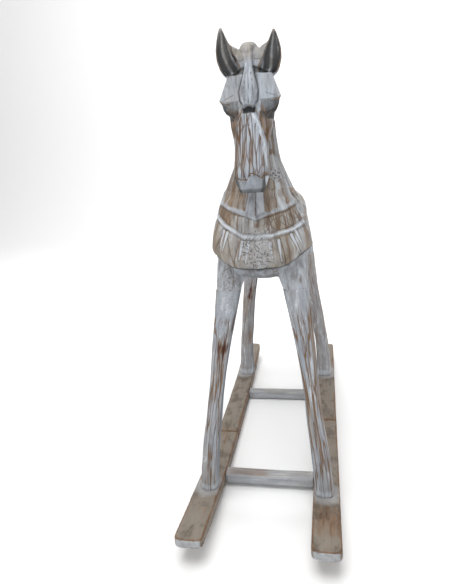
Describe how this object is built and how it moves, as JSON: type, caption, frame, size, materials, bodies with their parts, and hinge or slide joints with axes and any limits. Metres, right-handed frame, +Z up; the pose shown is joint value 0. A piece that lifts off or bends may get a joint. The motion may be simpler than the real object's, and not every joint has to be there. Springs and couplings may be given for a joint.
{
  "type": "carved rocking horse statue",
  "caption": "Free-standing carved wooden horse ornament, whitewashed and rubbed back, on splayed legs fixed to curved runners joined by cross bars, so that it rocks on a floor.",
  "frame": {"origin": "on the floor, at the middle of the bounding box's bottom face", "axes": "the horse faces -Y, +X is the horse's own left side, +Z is up"},
  "size_m": [0.276, 0.85, 0.8],
  "materials": {
    "whitewashed_wood": "matt limewash over light brown wood, rubbed through to the wood on edges and along the grain",
    "runner_wood": "matt greyed brown wood with worn orange-brown edges and traces of wash at the ends",
    "stretcher_wood": "matt limewash, thin over pale brown wood",
    "dowel_wood": "bare planed softwood, glued in",
    "screw_steel": "dull zinc-plated steel"
  },
  "bodies": {
    "root": {"body_block": "whitewashed_wood", "neck_block": "whitewashed_wood", "head_block": "whitewashed_wood", "tail": "whitewashed_wood", "front_left_leg": "whitewashed_wood", "front_right_leg": "whitewashed_wood", "rear_left_leg": "whitewashed_wood", "rear_right_leg": "whitewashed_wood", "left_runner_front": "runner_wood", "left_runner_rear": "runner_wood", "right_runner_front": "runner_wood", "right_runner_rear": "runner_wood", "front_stretcher": "stretcher_wood", "rear_stretcher": "stretcher_wood", "neck_dowel": "dowel_wood", "head_dowel": "dowel_wood", "tail_dowel": "dowel_wood", "front_left_leg_dowel": "dowel_wood", "front_right_leg_dowel": "dowel_wood", "rear_left_leg_dowel": "dowel_wood", "rear_right_leg_dowel": "dowel_wood", "left_runner_dowel": "dowel_wood", "right_runner_dowel": "dowel_wood", "front_stretcher_left_dowel": "dowel_wood", "front_stretcher_right_dowel": "dowel_wood", "rear_stretcher_left_dowel": "dowel_wood", "rear_stretcher_right_dowel": "dowel_wood", "front_left_foot_screw": "screw_steel", "front_right_foot_screw": "screw_steel", "rear_left_foot_screw": "screw_steel", "rear_right_foot_screw": "screw_steel"}
  },
  "joints": []
}
